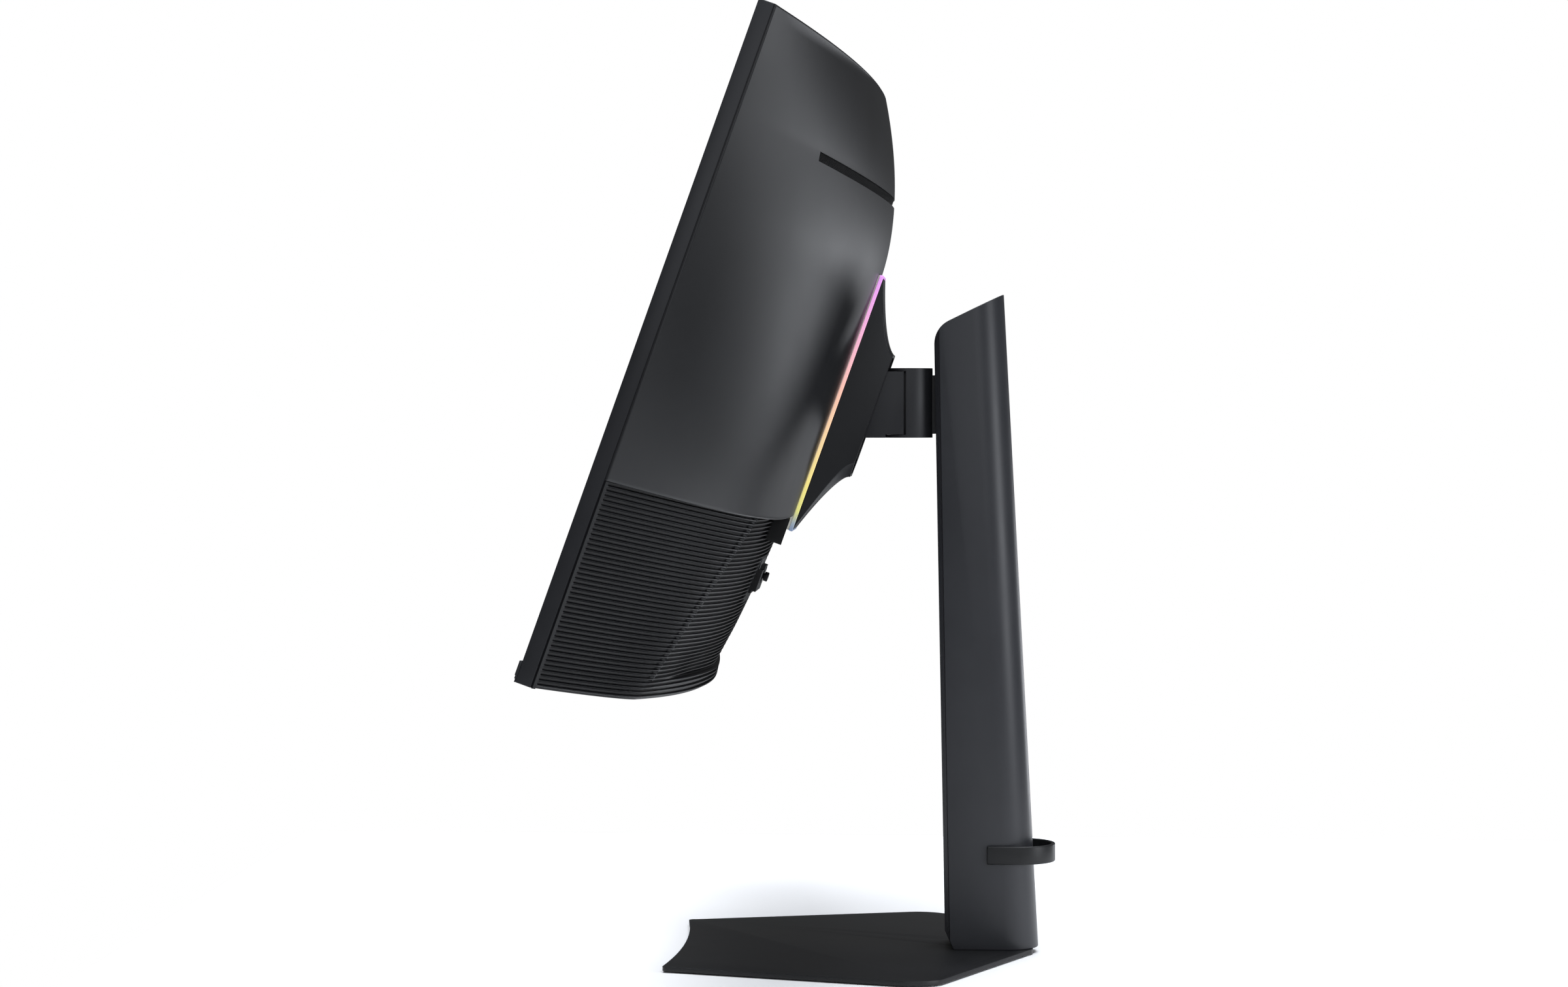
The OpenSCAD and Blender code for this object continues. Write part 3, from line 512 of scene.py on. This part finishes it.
def low_w(x, v):
    """The ribbed cover, at the tops of its ribs."""
    if abs(x) > crease_x(v):
        return side_w(x, v)
    mid = bulge_mid(v)
    share = abs(x) / crease_x(v)
    tuck = TUCK * smooth((TUCK_TOP - v) / TUCK_H) * math.sin(math.pi * share) ** 2
    return mid - (mid - crease_w(v)) * share ** LOW_POWER - tuck


TRIM_MID = -16.3
LEDGE_H = 2.0
ROUNDER_BELOW = -200
ROUNDER_H = 10


def trim_w(x, v):
    """The bottom trim stands out below a ledge; its middle is rounder towards the foot."""
    if abs(x) > crease_x(v):
        return side_w(x, v)
    power = 1.48 + 0.37 * smooth((ROUNDER_BELOW - v) / ROUNDER_H)
    curve = TRIM_MID - (TRIM_MID - crease_w(v)) * (abs(x) / crease_x(v)) ** power
    ledge = 1 - (max(v - trim_split + LEDGE_H, 0) / LEDGE_H) ** 2
    return low_w(x, v) + (curve - low_w(x, v)) * ledge


def inside(x, v, outer):
    """Inner face of a cover, clear of the panel stack and of the bezel frame."""
    if abs(x) > half_w - bezel_w - 1 or v > window_high - 1 or v < window_low + 1:
        return max(outer - skin, frame_back(x) + 0.2)
    return max(outer - skin, stack_back(x) + 0.4)


def rounding(t, r):
    """Drop of a rounded edge of radius r, t millimetres into the last r before the edge."""
    t = min(max(t, 0.0), r)
    return r - math.sqrt(r * r - t * t)


# ---------- rear cover and vent ----------


def cut(obj, mesh):
    """Cuts a closed mesh out of a piece."""
    cutter = bpy.data.objects.new("cutter", mesh)
    scene.collection.objects.link(cutter)
    modifier = obj.modifiers.new("cut", "BOOLEAN")
    modifier.operation = "DIFFERENCE"
    modifier.solver = "EXACT"
    modifier.object = cutter
    graph = bpy.context.evaluated_depsgraph_get()
    done = bpy.data.meshes.new_from_object(obj.evaluated_get(graph))
    obj.modifiers.clear()
    obj.data = done
    bpy.data.objects.remove(cutter)


EDGE_R = 0.9            # rounded edges of the smooth cover
FOOT_R = 1.2


def border_steps(low, high, count):
    """Even steps with extra ones inside the rounded edge at each end."""
    fine = [0.0, 0.12, 0.4, EDGE_R]
    start = [low + f for f in fine]
    end = [high - f for f in reversed(fine)]
    return start + steps(low + 1.2, high - 1.2, count) + end


def rear_outer(x, v):
    side = rounding(abs(x) - (half_w - EDGE_R), EDGE_R)
    top = rounding(v - (head_top - EDGE_R), EDGE_R)
    foot = rounding(cover_split + FOOT_R - v, FOOT_R)
    return cover_w(x, v) - min(side + top, 1.1) - foot


def rear_inner(x, v):
    base = inside(x, v, cover_w(x, v))
    if v < cover_split + 2.5:
        base = min(base, inside(x, v, low_w(x, cover_split)))
    return min(base, rear_outer(x, v) - 0.1)


def rounded_rectangle(half_x, low, high, r, count=6):
    """Outline points (x, v) of a rectangle with rounded corners."""
    points = []
    for corner in range(4):
        cx = half_x - r if corner in (0, 3) else -half_x + r
        cv = high - r if corner < 2 else low + r
        for i in range(count + 1):
            a = math.radians(90 * corner + 90 * i / count)
            points.append((cx + r * math.cos(a), cv + r * math.sin(a)))
    return points


def prism(name, outline, back, front):
    rings = [[(x, w, v) for x, v in outline] for w in (back, front)]
    return loft(name, rings, HEAD, closed=False)


def rear_rows():
    """Heights of the smooth cover's rows, close together at its edges and inner steps."""
    foot = [cover_split + f for f in (0, 0.1, 0.35, 0.7, FOOT_R, 2.4, 2.6)]
    top = [head_top - f for f in (1.2, EDGE_R, 0.4, 0.12, 0)]
    return foot + steps(-79, 201, 110) + [201.2, 201.4, 204, 206.8] + top


def make_rear_cover():
    """The smooth cover, open round the light ring and at the vent's slot."""
    columns = border_steps(-half_w, half_w, 160)
    mesh = shell("rear_cover", columns, rear_rows(), rear_outer, rear_inner)
    cover = add_piece("rear_cover_finished", mesh, "rear_cover")
    opening = rounded_rectangle(ring_half + gap, ring_bottom - 20, ring_top + gap, 2)
    cut(cover, prism("opening", opening, -60, 40))
    low = vent_v - vent_h / 2
    high = vent_v + vent_h / 2
    slot = [(-vent_half, low), (vent_half, low), (vent_half, high), (-vent_half, high)]
    cut(cover, prism("slot", slot, -100, 40))
    shade(cover.data, 30)


make_rear_cover()

SLAT_PITCH = 2.0
SLAT_T = 0.75
SLAT_DEPTH = 3.4
SLAT_SET = 1.3          # how far the slats sit in from the cover's surface


def box_faces(base):
    return [tuple(base + i for i in face) for face in
            ((0, 1, 3, 2), (4, 6, 7, 5), (0, 4, 5, 1), (2, 3, 7, 6), (0, 2, 6, 4), (1, 5, 7, 3))]


def vent_slats():
    """The strip in the vent's slot: a wall with a row of upright slats before it."""
    verts = []
    faces = []
    low = vent_v - vent_h / 2 - 3
    high = vent_v + vent_h / 2 + 3
    count = int(2 * vent_half / SLAT_PITCH)
    for i in range(count):
        x = -vent_half + SLAT_PITCH * (i + 0.5)
        base = len(verts)
        for dx in (-SLAT_T / 2, SLAT_T / 2):
            for v in (low + 0.5, high - 2.6):
                for depth in (SLAT_SET, SLAT_SET + SLAT_DEPTH):
                    verts.append((x + dx, cover_w(x, vent_v) - depth, v))
        faces += box_faces(base)
    xs = steps(-vent_half - 4, vent_half + 4, 80)
    base = len(verts)
    for x in xs:
        for v in (low, high):
            for depth in (SLAT_SET + SLAT_DEPTH - 0.4, SLAT_SET + SLAT_DEPTH + 0.8):
                verts.append((x, cover_w(x, v) - depth, v))
    for i in range(len(xs) - 1):
        a = base + 4 * i
        for p, q in ((0, 1), (1, 3), (3, 2), (2, 0)):
            faces.append((a + p, a + q, a + 4 + q, a + 4 + p))
    last = base + 4 * (len(xs) - 1)
    faces.append((base, base + 2, base + 3, base + 1))
    faces.append((last, last + 1, last + 3, last + 2))
    return clean_mesh("vent_grille", verts, faces, HEAD)


add_piece("vent_grille_finished", vent_slats(), "vent_grille")

# ---------- ribbed lower cover and bottom trim ----------

RIB_PITCH = 3.0
# Share of the pitch, and how far the surface lies in from the rib tops there.
RIB_PROFILE = ((0.0, 2.2), (0.52, 2.2), (0.56, 0.7), (0.66, 0.2), (0.78, 0.0), (0.90, 0.12),
               (0.96, 0.45), (0.985, 2.2))
RIM = 1.6               # width of the plain strip along the crease


def rib_depth(v):
    """How far the surface lies in from the rib tops at v, counted up from the head's foot."""
    share = ((v + head_bottom) / RIB_PITCH) % 1.0
    points = RIB_PROFILE + ((1.0, RIB_PROFILE[0][1]),)
    for (a, da), (b, db) in zip(points, points[1:]):
        if share <= b + 1e-6:
            return da + (db - da) * max(share - a, 0) / (b - a)
    return 0.0


def plain(x, v):
    """1 where there are no ribs: by the bezel, on the cover's crease, round the joystick."""
    by_bezel = smooth((abs(x) - (half_w - 4)) / 1.2)
    by_crease = 0.0
    if v > trim_split:
        by_crease = 1 - smooth((abs(abs(x) - crease_x(v)) - RIM / 2) / 0.8)
    by_stick = 0.0
    if joy_low - 9 < v < joy_high + 2:
        by_stick = 1 - smooth((abs(x) - joy_half - 6) / 1.0)
    return max(by_bezel, by_crease, by_stick)


def ribbed(base):
    """A surface with ribs cut into it."""
    def at(x, v):
        return base(x, v) - rib_depth(v) * (1 - plain(x, v))
    return at


def rib_rows(low, high):
    """Heights at which the rib profile turns, from low to high."""
    rows = [low, high]
    first = int((low + head_bottom) / RIB_PITCH) - 1
    last = int((high + head_bottom) / RIB_PITCH) + 1
    for i in range(first, last + 1):
        rows += [RIB_PITCH * (i + share) - head_bottom for share, _ in RIB_PROFILE]
    rows = sorted(v for v in rows if low <= v <= high)
    return [v for i, v in enumerate(rows) if i == 0 or v - rows[i - 1] > 0.02]


def rib_columns():
    """Steps across the cover, close together where ribs start and stop."""
    half = steps(0, 160, 40) + steps(162, 242, 80) + steps(244, half_w - 6, 30)
    half += [half_w - f for f in (5, 4, 3.4, 2.8, 1.5, 0.6, 0.2, 0)]
    half = [x for x in half if abs(x - joy_half - 0.2) > 0.5]
    half += [joy_half + 0.2, joy_half + 6, joy_half + 6.5, joy_half + 7, port_out + 0.2,
             -port_in + 0.2, ring_half + gap]
    half = sorted(set(half))
    return [-x for x in reversed(half) if x > 0] + half


def in_low_cover(x, v):
    if abs(x) < ring_half + gap and v > ring_bottom - gap:
        return False
    if port_in - 0.2 < x < port_out + 0.2 and v > port_low - 0.2:
        return False
    return not (abs(x) < joy_half + 0.2 and joy_low - 0.2 < v < joy_high + 0.2)


THINNEST = 0.5          # least thickness under a groove
low_surface = ribbed(low_w)
trim_surface = ribbed(trim_w)


def low_inner(x, v):
    return min(inside(x, v, low_w(x, v)), low_surface(x, v) - THINNEST)


def make_lower_cover():
    """The ribbed cover, open round the light ring, the sockets and the joystick."""
    rows = rib_rows(trim_split + 0.1, cover_split - 0.1)
    rows += [ring_bottom - gap, port_low - 0.2, joy_low - 0.2, joy_high + 0.2]
    mesh = shell("lower_cover", rib_columns(), sorted(set(rows)), low_surface, low_inner,
                 in_low_cover)
    add_piece("lower_cover_finished", mesh, "lower_cover", angle=25)


TRIM_FLOOR = 2.5
TRIM_ROOF = 2.2


def trim_inner(x, v):
    """Hollow between a floor and a roof, which reach forward to the bezel frame."""
    if -head_bottom + TRIM_FLOOR < v < trim_split - TRIM_ROOF:
        return min(inside(x, v, trim_w(x, v)), trim_surface(x, v) - THINNEST)
    return min(frame_back(x) + 0.3, trim_surface(x, v) - THINNEST)


def make_bottom_trim():
    rows = rib_rows(-head_bottom, trim_split)
    rows += [-head_bottom + TRIM_FLOOR + 0.05, trim_split - TRIM_ROOF - 0.05]
    mesh = shell("bottom_trim", rib_columns(), sorted(set(rows)), trim_surface, trim_inner)
    add_piece("bottom_trim_finished", mesh, "bottom_trim", angle=25)


make_lower_cover()
make_bottom_trim()

# ---------- collar and light ring ----------


CORNER_R = 2            # upper corners
SMALL_BEVEL = 1.5       # lower corners, in the light ring
BEVEL_GROWTH = 8.5      # and how much bigger they get towards the collar's open end


def corner_cut(w):
    """Height of the bevel at the lower corners, at depth w."""
    return SMALL_BEVEL + BEVEL_GROWTH * smooth((w - 2) / 20)


def collar_ring(w, side, ends):
    """An outline at depth w, drawn in from the ring's by side and ends."""
    half = ring_half - side
    high = ring_top - ends - CORNER_R
    low = ring_bottom + ends
    rise = corner_cut(w)
    run = 0.7 * rise
    points = []
    for hand, start in ((1, 0), (-1, 90)):
        middle = hand * (half - CORNER_R)
        for turned in steps(0, 90, 6):
            a = math.radians(start + turned)
            points.append((middle + CORNER_R * math.cos(a), w, high + CORNER_R * math.sin(a)))
    points += [(-half + run * t, w, low + rise * (1 - t)) for t in steps(0, 1, 4)]
    points += [(half - run * (1 - t), w, low + rise * t) for t in steps(0, 1, 4)]
    return points


FLARE_FOOT = 1.5        # depth at which the collar starts to flare
FLARE_RUN = 46.6        # how far its ends come in by its open end
FLARE_POWER = 1.55
COLLAR_T = 2.2
LINING = 1.6


def flare_w(u):
    return FLARE_FOOT + (rim_w - FLARE_FOOT) * u


def flare_inset(u):
    return 1.6 + FLARE_RUN * (1 - (1 - u) ** FLARE_POWER)


def make_neck_collar():
    """A skirt round the light ring's seat, the flare's outside, its open end and its inside."""
    inner = 1 + COLLAR_T
    wall = [(-9.2, 0.3, 0.3), (-3.3, 0.3, 0.3), (-3.3, 2.4, 2.4), (FLARE_FOOT, 2.4, 2.4)]
    wall += [(flare_w(u), 1, flare_inset(u)) for u in steps(0, 1, 28)]
    wall += [(rim_w, inner, flare_inset(1) + COLLAR_T)]
    wall += [(flare_w(u) - LINING, inner, flare_inset(u) + LINING) for u in steps(0.95, 0.1, 12)]
    wall += [(0, 4, 5.2), (-4.9, 4, 5.2), (-4.9, 2.5, 2.5), (-9.2, 2.5, 2.5)]
    mesh = loft("neck_collar", [collar_ring(*place) for place in wall], HEAD)
    add_piece("neck_collar_finished", mesh, "neck_collar", [bevel(0.35, 2, 30)], angle=28)


def make_light_ring():
    """A thin ring with a rounded outer face."""
    wall = [(-1.0, 0.0), (-1.0, 2.2), (1.0, 2.2), (1.3, 2.0), (1.4, 1.7), (1.4, 0.5),
            (1.3, 0.2), (1.0, 0.0)]
    mesh = loft("light_ring", [collar_ring(w, inset, inset) for w, inset in wall], HEAD)
    add_piece("light_ring_finished", mesh, "light_ring")


make_neck_collar()
make_light_ring()

# ---------- the remaining visible parts ----------

softened("bezel_frame", 0.6)
softened("front_chin", 0.8)
softened("base_plate", 1.1, 4)
softened("column_shell", 0.8)
softened("column_front", 0.6)
softened("cable_clip", 0.9)
softened("swivel_yoke", 0.4)
softened("arm_housing", 0.8)
softened("port_block", 0.4)
softened("joystick_housing", 0.4)
softened("joystick_knob", 0.5)
softened("foot_pads", 0.3)


def dress_carried_nodes():
    """Gives the CAD nodes that stay visible the material of their slot."""
    for node, obj in frame["nodes"].items():
        if obj.hide_render:
            continue
        obj.data.materials.clear()
        obj.data.materials.append(MATERIALS[SLOTS[node]])


dress_carried_nodes()

# ---------- floor and light ----------

FLOOR_HALF = 0.6
FLOOR_CORNERS = ((-1, -1), (1, -1), (1, 1), (-1, 1))


def make_floor():
    mesh = bpy.data.meshes.new("floor")
    corners = [(x * FLOOR_HALF, y * FLOOR_HALF, 0) for x, y in FLOOR_CORNERS]
    mesh.from_pydata(corners, [], [(0, 1, 2, 3)])
    floor = bpy.data.objects.new("floor", mesh)
    scene.collection.objects.link(floor)
    material, tree, shader, coords = node_material("floor")
    shades = tint(tree, noise(tree, coords, 3), (0.94, 0.94, 0.94), (0.96, 0.96, 0.96))
    tree.links.new(shades, shader.inputs["Base Color"])
    shader.inputs["Roughness"].default_value = 0.9
    mesh.materials.append(material)


make_floor()

COOL = (0.92, 0.95, 1.0)


def soft_light(name, at, towards, size, power):
    data = bpy.data.lights.new(name, "AREA")
    data.shape = "RECTANGLE"
    data.size, data.size_y = size
    data.energy = power
    data.color = COOL
    light = bpy.data.objects.new(name, data)
    light.location = at
    light.rotation_mode = "QUATERNION"
    light.rotation_quaternion = (Vector(towards) - Vector(at)).to_track_quat("-Z", "Y")
    light.visible_camera = False
    scene.collection.objects.link(light)


def overhead_light():
    """A wide soft sun, straight down."""
    data = bpy.data.lights.new("overhead", "SUN")
    data.energy = 5.0
    data.color = COOL
    data.angle = math.radians(60)
    scene.collection.objects.link(bpy.data.objects.new("overhead", data))


def make_world():
    """White behind the object, and a dimmer white as a source of light."""
    world = bpy.data.worlds.new("world")
    scene.world = world
    world.use_nodes = True
    tree = world.node_tree
    background = tree.nodes["Background"]
    background.inputs["Color"].default_value = (1, 1, 1, 1)
    light_path = tree.nodes.new("ShaderNodeLightPath")
    strength = tree.nodes.new("ShaderNodeMapRange")
    strength.inputs["To Min"].default_value = 0.08
    strength.inputs["To Max"].default_value = 1.0
    tree.links.new(light_path.outputs["Is Camera Ray"], strength.inputs["Value"])
    tree.links.new(strength.outputs["Result"], background.inputs["Strength"])


soft_light("glow", at=(-2.5, 1.6, 0.0), towards=(0, -0.1, 0.4), size=(1.0, 0.7), power=8)
soft_light("behind", at=(1.3, 2.4, 0.6), towards=(0.1, -0.1, 0.4), size=(1.0, 1.2), power=31)
soft_light("side", at=(2.4, 0.2, 1.0), towards=(0, 0, 0.35), size=(1.2, 1.2), power=9)
overhead_light()
make_world()
